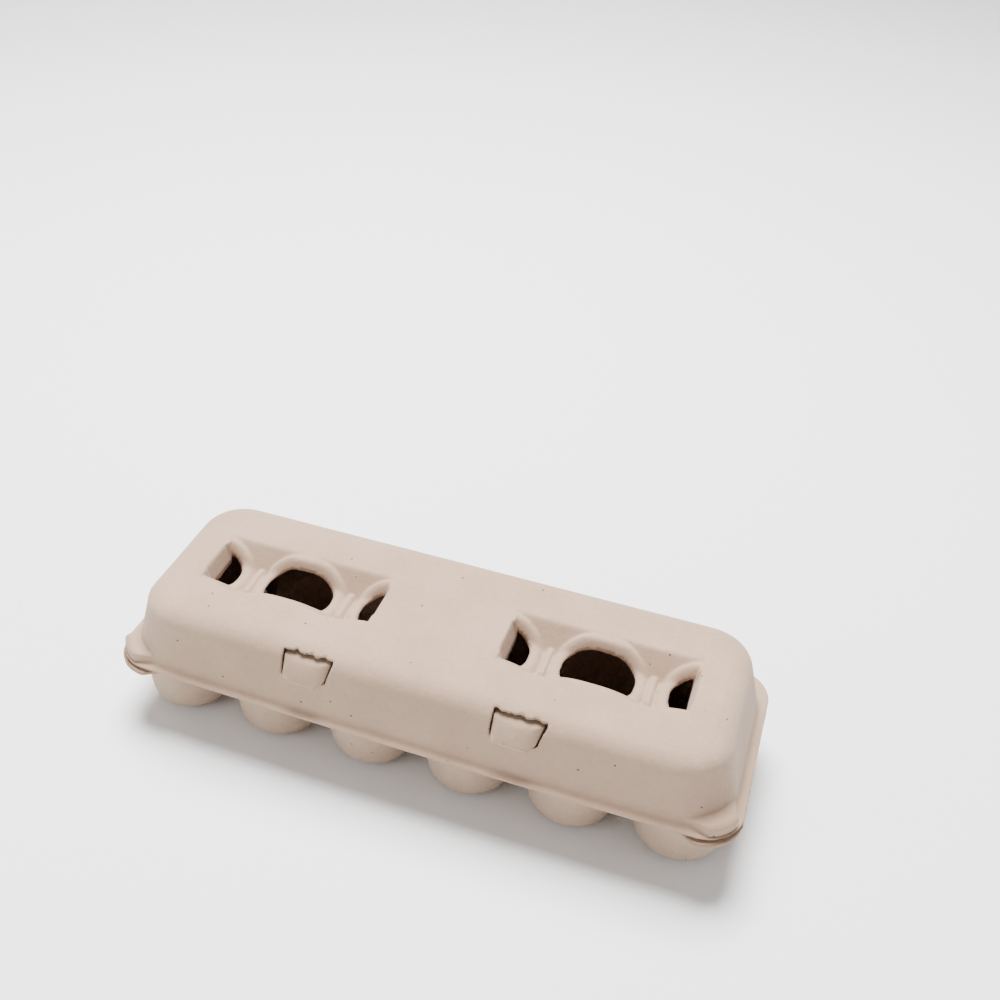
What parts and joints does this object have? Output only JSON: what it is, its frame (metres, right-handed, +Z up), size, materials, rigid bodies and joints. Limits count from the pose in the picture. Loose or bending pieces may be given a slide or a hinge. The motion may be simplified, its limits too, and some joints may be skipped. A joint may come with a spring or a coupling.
{
  "type": "egg carton",
  "caption": "Closed moulded-pulp carton for twelve eggs: cup tray with centre posts, hinged lid with two recessed view wells, and a front locking flap with lugs through slots",
  "frame": {"origin": "middle of the footprint, on the surface that the cups stand on", "axes": "+X along the carton, +Y to the hinge side, +Z up"},
  "size_m": [0.292, 0.106, 0.069],
  "materials": {
    "tray_pulp": "moulded pulp, matt, smooth outside and fibrous inside",
    "lid_pulp": "moulded pulp, matt, smooth outside and fibrous inside",
    "flap_pulp": "moulded pulp, matt, smooth face"
  },
  "bodies": {
    "tray": {"cup_front_1": "tray_pulp", "cup_front_2": "tray_pulp", "cup_front_3": "tray_pulp", "cup_front_4": "tray_pulp", "cup_front_5": "tray_pulp", "cup_front_6": "tray_pulp", "cup_rear_1": "tray_pulp", "cup_rear_2": "tray_pulp", "cup_rear_3": "tray_pulp", "cup_rear_4": "tray_pulp", "cup_rear_5": "tray_pulp", "cup_rear_6": "tray_pulp", "post_1": "tray_pulp", "post_2": "tray_pulp", "post_3": "tray_pulp", "post_4": "tray_pulp", "post_5": "tray_pulp", "tray_rim_front": "tray_pulp", "tray_ridges": "tray_pulp", "tray_rim_rear": "tray_pulp", "hinge_web": "tray_pulp"},
    "lid": {"lid_rim": "lid_pulp", "lid_front_wall": "lid_pulp", "lid_rear_wall": "lid_pulp", "lid_left_end": "lid_pulp", "lid_right_end": "lid_pulp", "lid_top": "lid_pulp", "view_well_left": "lid_pulp", "view_well_right": "lid_pulp", "corner_pad_left": "lid_pulp", "corner_pad_right": "lid_pulp"},
    "flap": {"front_flap": "flap_pulp", "flap_crease": "flap_pulp", "lug_left": "flap_pulp", "lug_right": "flap_pulp"}
  },
  "joints": [
    {"name": "lid_hinge", "type": "hinge", "parent": "tray", "child": "lid", "pos_m": [0, 0.053, 0.03465], "axis": [-1, 0, 0], "range_deg": [0, 180], "deforming": ["hinge_web"]},
    {"name": "flap_hinge", "type": "hinge", "parent": "tray", "child": "flap", "pos_m": [0, -0.0466, 0.0345], "axis": [1, 0, 0], "range_deg": [0, 107], "deforming": ["flap_crease", "lug_left", "lug_right"]}
  ],
  "couplings": [
    {"joint": "flap_hinge", "follows": "lid_hinge", "ratio": 0.55}
  ]
}
